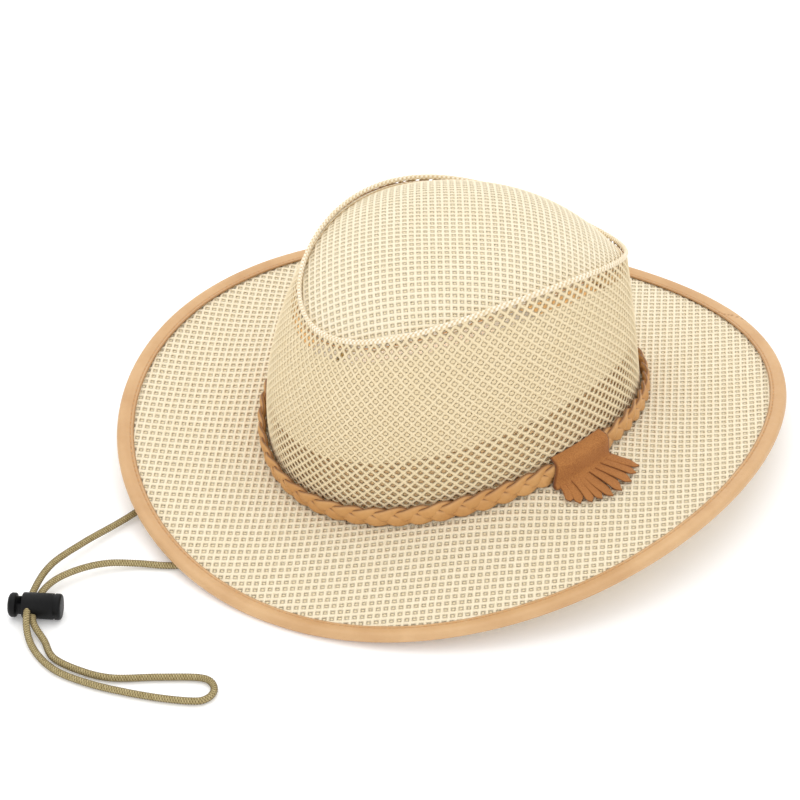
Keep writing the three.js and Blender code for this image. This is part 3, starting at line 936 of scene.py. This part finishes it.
# The leather isn't quite even: waves of these numbers round the hat swell it and move its inner strip
BINDING_WAVES = (5, 9, 14, 23, 31, 47, 71, 97)
BINDING_SWELL = 0.035
BINDING_WANDER = 0.12
STITCH_INSET = 6.9
# The strip's ends meet on the wearer's left, in a slanting cut
SPLICE_ANGLE = 162
SPLICE_SLANT = 0.9
SPLICE_HALF_WIDTH = 0.3


def make_binding(leather):
    """A strip folded over the brim's edge: a rounded roll, and an inner strip that is stitched down."""
    inset, height = np.array(BINDING_OUTLINE, float).T
    random = np.random.default_rng(21)
    waves = [(n, random.uniform(0, 360), random.uniform(0.4, 1.0)) for n in BINDING_WAVES]
    # Painted shade: 1 is open leather, and less where the binding meets the brim, under its roll and along
    # the stitched crease
    at_brim = (inset > 8.2) | (np.abs(height) < 0.9) & (inset > 2)
    under_roll = (height < -1.5) & (inset < 5)
    at_stitches = np.abs(inset - STITCH_INSET) < 0.2
    raised = np.select([at_brim, under_roll, at_stitches], [0.3, 0.55, 0.45], 1.0)

    def section(a):
        ripple = sum(size * np.cos(np.radians(n * a + start)) / (n ** 0.5) for n, start, size in waves)
        plan = brim_inset(a, inset + BINDING_WANDER * ripple * (inset > 5))
        swell = 1 + BINDING_SWELL * ripple
        points = stack(plan[..., 0], plan[..., 1], brim_edge_height(a) + height * swell)
        from_splice = np.abs(a - SPLICE_ANGLE - SPLICE_SLANT * (inset - BINDING_HALF_THICKNESS))
        return points, np.where((from_splice < SPLICE_HALF_WIDTH) & (height > 0), 0.0, raised)

    binding = ring_mesh("binding", section, BINDING_STEPS, leather)
    return finish_piece(binding, ["brim_binding"])


STITCH_PITCH = 3.4
STITCH_LENGTH = 2.3
STITCH_THICKNESS = 0.6
STITCH_FLATNESS = 0.7
STITCH_HEIGHTS = (1.62, -1.66)


def capsule():
    """A rounded stitch, one unit long and one unit thick, along X."""
    count, rows = 6, 4
    share = np.linspace(0, 1, rows + 2)[1:-1]
    along = -0.5 * np.cos(np.pi * share)
    radius = 0.5 * np.sin(np.pi * share) ** 0.6
    around = round_turn(count)
    rings = np.stack([
        np.repeat(along, count),
        (radius[:, None] * np.cos(around)).ravel(),
        (radius[:, None] * np.sin(around)).ravel(),
    ], axis=-1)
    return rings, run_faces(rows, count)


def make_binding_stitches(thread):
    """A row of stitches round the binding's upper side, and one round its underside."""
    angles = np.arange(0, 360, 0.1)
    gone = distance_along(brim_inset(angles, STITCH_INSET))
    a = np.interp(np.arange(0, gone[-1], STITCH_PITCH), gone, angles)
    shape, faces = capsule()
    points = []
    for height in STITCH_HEIGHTS:
        place, ahead = (
            np.column_stack([brim_inset(b, STITCH_INSET), brim_edge_height(b) + height]) for b in (a, a + 0.5)
        )
        along = unit(ahead - place)
        side = unit(np.cross((0, 0, np.sign(height)), along))
        normal = np.cross(along, side)
        points.append(
            place[:, None] + shape[None, :, :1] * along[:, None] * STITCH_LENGTH
            + shape[None, :, 1:2] * side[:, None] * STITCH_THICKNESS
            + shape[None, :, 2:] * normal[:, None] * STITCH_THICKNESS * STITCH_FLATNESS
        )
    points = np.concatenate(points).reshape(-1, 3)
    starts = range(0, len(points), len(shape))
    every = [[corner + start for corner in face] for start in starts for face in faces]
    return finish_piece(add_mesh("binding_stitches", points, every, thread))


# Height of each row of the sweatband over its foot, and how far both its faces are drawn in there:
# at the rounded edges and at the two lines of stitches
SWEATBAND_ROWS = (
    (-SWEATBAND_DROP, 0.4), (0, 0), (3, 0.25), (6, 0), (12, 0), (18, 0), (24, 0), (30, 0),
    (33, 0.25), (34.4, 0), (SWEATBAND_HEIGHT, 0.4),
)
SWEATBAND_STEPS = 180


def make_sweatband(cloth):
    """The strip inside the head opening."""
    def face(a, outward, way):
        rows = []
        for height, pinch in SWEATBAND_ROWS:
            row = wall_point(a, wall_share(a, max(height, 0)), outward + way * pinch)
            if height <= 0:
                row[..., 2] = crown_base_height(a) + height
            rows.append(row)
        return rows

    def section(a):
        outline = face(a, -GAP, -1) + face(a, -GAP - SWEATBAND_THICKNESS, 1)[::-1]
        return np.concatenate(outline, axis=1), None

    band = ring_mesh("sweatband_cloth", section, SWEATBAND_STEPS, cloth)
    return finish_piece(band, ["sweatband"])


BRAID_PERIODS = 19
BRAID_STRANDS = 3
BRAID_SWING = 2.4
BRAID_DEPTH = 0.9
STRAND_HALF_WIDTH = 3.35
STRAND_HALF_THICKNESS = 1.15
BRAID_MIDDLE_UP = 5.6
BRAID_MIDDLE_OUT = 2.75


BRAID_RINGS = 1140
STRAND_SIDES = 12
STRAND_SWELL = 0.08
# Out from the wall and up from the brim, where the braid's length round the crown is measured
BRAID_MEASURED_AT = (3.0, 5.0)


def make_braid(leather):
    """Three soft folded straps plaited flat round the foot of the crown."""
    line = beside_wall(FINE_ANGLES, *BRAID_MEASURED_AT)
    gone = distance_along(np.vstack([line, line[:1]]))
    total = gone[-1]
    rate = 2 * np.pi * BRAID_PERIODS / total
    u, v = flat_ring((STRAND_HALF_WIDTH, STRAND_HALF_THICKNESS), STRAND_SIDES, 0, 0.85).T
    share = np.arange(BRAID_RINGS) / BRAID_RINGS
    points, faces = [], []
    for strand in range(BRAID_STRANDS):
        phase = 2 * np.pi * (BRAID_PERIODS * share + strand / BRAID_STRANDS)
        path = stack(share * total, BRAID_SWING * np.sin(phase), BRAID_DEPTH * np.sin(2 * phase))
        along = unit(stack(
            1, BRAID_SWING * rate * np.cos(phase), 2 * BRAID_DEPTH * rate * np.cos(2 * phase),
        ))
        wide = unit(stack(-along[:, 1], along[:, 0], 0))
        thick = np.cross(along, wide) * (1 + STRAND_SWELL * np.sin(2 * phase))[:, None]
        place = sweep(path, wide, thick, u, v)
        a = np.interp(place[..., 0] % total, gone, np.append(FINE_ANGLES, 360))
        strap = beside_wall(a, place[..., 2] + BRAID_MIDDLE_OUT, place[..., 1] + BRAID_MIDDLE_UP)
        points.append(strap.reshape(-1, 3))
        first = strand * BRAID_RINGS * STRAND_SIDES
        faces.append(grid_faces(BRAID_RINGS, STRAND_SIDES, close_rows=True, first=first))
    # Painted shade: dark where a strap's edge turns in under the next
    raised = np.clip(1.7 * (1 - (np.abs(u) / STRAND_HALF_WIDTH) ** 3), 0, 1)
    raised = np.tile(raised, BRAID_STRANDS * BRAID_RINGS)
    braid = add_mesh("braided_band", np.vstack(points), np.vstack(faces), leather, raised)
    return finish_piece(braid, ["hat_band"])


SLEEVE_FLARE = 1.4
SLEEVE_OUTLINE = (
    (0.4, 10.9), (2.4, 10.95), (4.3, 10.7), (5.2, 9.6), (5.45, 7), (5.5, 4), (5.55, 1.6), (5.9, 0.6),
    (7.2, 0.45), (8.4, 0.5), (8.7, 1.0), (8.4, 1.6), (7.4, 2.1), (6.95, 3.0), (6.85, 5), (6.85, 8),
    (6.7, 10), (6.1, 11.4), (5, 12.0), (2.6, 12.15), (0.5, 12.1),
)
SLEEVE_STEPS = 37
SLEEVE_HEIGHT = 12
SLEEVE_BULGE = 0.35
SLEEVE_EDGE = 0.5


def make_sleeve(suede):
    """The suede sleeve folded over the band. Its foot reaches a little further to the front."""
    out, up = smooth_path(SLEEVE_OUTLINE, 2, closed=True).T
    share = np.linspace(0, 1, SLEEVE_STEPS)[:, None]
    low = np.clip(1 - up / SLEEVE_HEIGHT, 0, 1)
    angles = mix(TAB_FROM - SLEEVE_FLARE * low, TAB_TO, share)
    from_edge = np.minimum(share, 1 - share) * (TAB_TO - TAB_FROM)
    bulge = SLEEVE_BULGE * np.clip(from_edge / 2, 0, 1)
    points = beside_wall(angles, out + bulge * (out > 5), up + 0 * angles).reshape(-1, 3)
    # The sleeve is darker at its two ends
    raised = np.clip(from_edge / SLEEVE_EDGE, 0.2, 1) + 0 * out
    sleeve = add_mesh("suede_sleeve", points, run_faces(SLEEVE_STEPS, len(out)), suede, raised)
    return finish_piece(sleeve, ["fringe_tab"])


STRIP_HALF_WIDTH = 3.5
STRIP_HALF_THICKNESS = 0.42
STRIP_RINGS = 26
STRIP_SIDES = 14
STRIP_UP = 1.05


def make_fringe(suede):
    """Strips cut from the sleeve's foot, fanned out and lying over each other like feathers."""
    random = np.random.default_rng(31)
    u, v = flat_ring((1, 1), STRIP_SIDES, 0, 0.6).T
    share = np.linspace(0, 1, STRIP_RINGS)
    # The cut runs slantwise, so a strip's back edge ends sooner than its front edge
    front = 1 - 0.75 * np.clip((share - 0.86) / 0.14, 0, 1) ** 2
    back = 1 - 1.3 * np.clip((share - 0.66) / 0.34, 0, 1) ** 1.4
    points, faces = [], []
    for number, (root_y, tip_x, tip_y) in enumerate(FRINGE_STRIPS):
        root, tip = np.array([FRINGE_ROOT_X, root_y]), np.array([tip_x, tip_y])
        reach = tip - root
        across = unit(np.array([-reach[1], reach[0]]))
        reach += across * 2
        bow = random.uniform(-1.0, 1.0)
        middle = root + reach * share[:, None] + across * (bow * np.sin(np.pi * share))[:, None]
        along = unit(np.gradient(middle, axis=0))
        sideways = np.stack([-along[:, 1], along[:, 0]], axis=-1)
        width = STRIP_HALF_WIDTH * random.uniform(0.92, 1.08)
        side = u * width * np.where(u > 0, back[:, None], front[:, None])
        plan = middle[:, None] + sideways[:, None] * side[..., None]
        layer = STRIP_UP + random.uniform(-0.1, 0.25) + 0.2 * np.sin(2.5 * share + number)
        lean = random.uniform(0.14, 0.22) * (0.4 + 0.6 * share)
        height = (
            brim_top_at(plan[..., 0], plan[..., 1]) + layer[:, None]
            + STRIP_HALF_THICKNESS * v - lean[:, None] * side
        )
        points.append(np.concatenate([plan, height[..., None]], axis=-1).reshape(-1, 3))
        faces += run_faces(STRIP_RINGS, STRIP_SIDES, first=number * STRIP_RINGS * STRIP_SIDES)
    # Painted shade along each strip's edges, where the strips lie over each other
    raised = np.tile(np.clip(1.5 * (1 - np.abs(u) ** 8), 0.1, 1), len(FRINGE_STRIPS) * STRIP_RINGS)
    fringe = add_mesh("suede_fringe", np.concatenate(points), faces, suede, raised)
    return finish_piece(fringe)


# The chin cord

CORD_RING_SPACING = 0.3
CORD_RING_SIDES = 16
CORD_TURN_PITCH = 5.0
CORD_THREADS = 4
CORD_RIB = 0.16


def make_cord(sheath):
    """The cord, and the line that it follows."""
    route, length = even_path(smooth_path(CORD_ROUTE, 40), CORD_RING_SPACING)
    side, other = carried_frames(route)
    gone = np.linspace(0, length, len(route))[:, None]
    around = round_turn(CORD_RING_SIDES)
    # Threads wind both ways round the sheath, and stand out where they cross
    wind = 2 * np.pi * gone / CORD_TURN_PITCH
    rib = (np.cos(CORD_THREADS * (around + wind)) + np.cos(CORD_THREADS * (around - wind))) / 2
    radius = CORD_RADIUS - CORD_RIB / 2 + CORD_RIB * rib
    points = sweep(route, side, other, radius * np.cos(around), radius * np.sin(around)).reshape(-1, 3)
    faces = run_faces(len(route), CORD_RING_SIDES)
    cord = add_mesh("braided_chin_cord", points, faces, sheath, 0.5 + 0.5 * rib)
    return finish_piece(cord, ["chin_cord"]), route


# The cord lock, which lies on its side with its axis and its cross hole level

TURNED_SIDES = 72
HOLE_SIDES = 40
CUTTER_REACH = 12


def lock_place(points):
    """From the lock's own axes (up, along, across) to the hat's."""
    sin, cos = circle(LOCK_TURN)
    height = BARREL_RADIUS * math.cos(math.pi / LOCK_SIDES)
    axes = np.array([(0, 0, 1), (cos, sin, 0), (-sin, cos, 0)])
    return np.asarray(points) @ axes + np.array([*LOCK_LEFT_END, height])


def turned(name, profile, material):
    """A body of revolution from (radius, along) points that start and end on its axis."""
    around = round_turn(TURNED_SIDES)
    inner = np.array(profile[1:-1], float)
    rings = stack(inner[:, :1] * np.cos(around), inner[:, 1:], inner[:, :1] * np.sin(around))
    ends = [(0, profile[0][1], 0), (0, profile[-1][1], 0)]
    points = np.vstack([rings.reshape(-1, 3), ends])
    faces = grid_faces(len(inner), TURNED_SIDES).tolist()
    first, last = len(points) - 2, len(points) - 1
    base = (len(inner) - 1) * TURNED_SIDES
    for i in range(TURNED_SIDES):
        j = (i + 1) % TURNED_SIDES
        faces += [[first, i, j], [last, base + j, base + i]]
    return add_mesh(name, lock_place(points), faces, material)


def cut_hole(thing, start):
    """Cuts a rounded slot across the lock, from a place on its axis to the cross hole's end."""
    outline = flat_ring((HOLE_HALF_HEIGHT, (HOLE_TO - start) / 2), HOLE_SIDES, 0, 0.6)
    middle = (start + HOLE_TO) / 2
    rings = [stack(outline[:, 0], outline[:, 1] + middle, depth) for depth in (-CUTTER_REACH, CUTTER_REACH)]
    cutter = add_mesh("cutter", lock_place(np.vstack(rings)), run_faces(2, HOLE_SIDES), None)
    modifier = thing.modifiers.new("hole", "BOOLEAN")
    modifier.object = cutter
    modifier.operation = "DIFFERENCE"
    modifier.solver = "EXACT"
    bpy.context.view_layer.update()
    seen = thing.evaluated_get(bpy.context.evaluated_depsgraph_get())
    thing.data = bpy.data.meshes.new_from_object(seen)
    thing.modifiers.clear()
    bpy.data.objects.remove(cutter)


def make_lock_body(plastic):
    barrel = turned("lock_barrel", [
        (0, BARREL_BORE_DEPTH), (BARREL_BORE, BARREL_BORE_DEPTH), (BARREL_BORE, 0.3), (BARREL_BORE + 0.3, 0),
        (5.7, 0), (6.05, 0.2), (BARREL_RADIUS, 0.7), (BARREL_RADIUS, 14.5), (5.85, 14.75), (5.85, 15.3),
        (BARREL_RADIUS, 15.55), (BARREL_RADIUS, 17.3), (6.0, 17.9), (5.5, 18.35), (4.9, BARREL_LENGTH),
        (0, BARREL_LENGTH),
    ], plastic)
    cut_hole(barrel, HOLE_FROM)
    return finish_piece(barrel, ["cord_lock_body"])


def make_lock_button(plastic):
    neck = -BUTTON_TRAVEL - BUTTON_CLEARANCE
    end = neck - BUTTON_LENGTH
    rod = BARREL_BORE - GAP
    tip = HOLE_TO + BUTTON_END
    button = turned("lock_push_button", [
        (0, end + 0.45), (2.4, end + 0.4), (3.2, end + 0.05), (4.2, end + 0.1), (5.0, end + 0.5),
        (5.5, end + 1.0), (BUTTON_RADIUS, end + 1.6), (BUTTON_RADIUS, neck - 0.7), (5.5, neck - 0.15),
        (5.0, neck), (rod, neck), (rod, tip), (0, tip),
    ], plastic)
    cut_hole(button, HOLE_FROM - BUTTON_TRAVEL)
    return finish_piece(button, ["cord_lock_button"], body="lock_button")


# Floor and light

FLOOR_HALF_SIZE = 4000
FLOOR_HEIGHT = -0.1


def make_floor(paper):
    corners = np.array([(-1, -1, 0), (1, -1, 0), (1, 1, 0), (-1, 1, 0)])
    corners = corners * FLOOR_HALF_SIZE + (0, 0, FLOOR_HEIGHT)
    floor = add_mesh("floor", corners, [[0, 1, 2, 3]], paper)


def make_light(name, place, aim, size, power):
    data = bpy.data.lights.new(name, "AREA")
    data.size = size
    data.energy = power
    return add_aimed(name, data, place, Vector(aim) - Vector(place))


CROWN_GLOW_COLOUR = (1.0, 0.87, 0.68)
CROWN_GLOW_POWER = 0.08


def make_crown_glow():
    """A weak warm light inside the crown, for the light that real yarn lets through."""
    light = make_light("crown_glow", (0, -0.005, 0.09), (0, -0.005, 0), 0.1, CROWN_GLOW_POWER)
    light.data.shape = "DISK"
    light.data.color = CROWN_GLOW_COLOUR
    light.visible_camera = False


def make_studio():
    world = bpy.data.worlds.new("studio")
    world.use_nodes = True
    sky = world.node_tree.nodes["Background"]
    sky.inputs["Color"].default_value = (1, 1, 1, 1)
    sky.inputs["Strength"].default_value = 1.03
    bpy.context.scene.world = world
    bpy.context.scene.view_settings.view_transform = "Standard"
    make_light("key_light", (-0.8, 0.5, 2.2), (0, -0.05, 0.05), 3.0, 22)
    make_light("fill_light", (1.4, -1.4, 1.8), (0, 0, 0.05), 1.6, 4)


make_camera()

cord, cord_route = make_cord(make_cord_sheath())
plastic = make_black_plastic()
lock_body = make_lock_body(plastic)
lock_button = make_lock_button(plastic)

# The back layers' yarns are a little darker than the face's, as painted shade behind the face, and the wall's
# yarns are darker than the brim's and top's, as painted shade on the upright wall
mesh_yarns = (
    make_mesh_yarn("straw_mesh", (243, 231, 206), (236, 221, 188), (241, 227, 197)),
    make_mesh_yarn("straw_mesh_back", (240, 225, 190), (233, 216, 178), (229, 211, 171)),
)
wall_yarns = (
    make_mesh_yarn("straw_mesh_wall", (239, 222, 187), (232, 213, 173), (232, 212, 172)),
    make_mesh_yarn("straw_mesh_wall_back", (238, 221, 185), (231, 212, 172), (229, 208, 167)),
)
closed_yarn = make_closed_yarn()
make_brim_net(mesh_yarns)
make_wall_net(wall_yarns)
make_top_net(mesh_yarns)
make_ridge_edge(closed_yarn)
make_seam_band(closed_yarn)
thread = make_stitch_thread()
make_seam_thread(thread)

make_binding(make_faux_leather())
make_binding_stitches(thread)
make_sweatband(make_band_cloth())
make_braid(make_braid_leather())
suede = make_suede()
make_sleeve(suede)
make_fringe(suede)

make_floor(make_paper())
make_studio()
make_crown_glow()
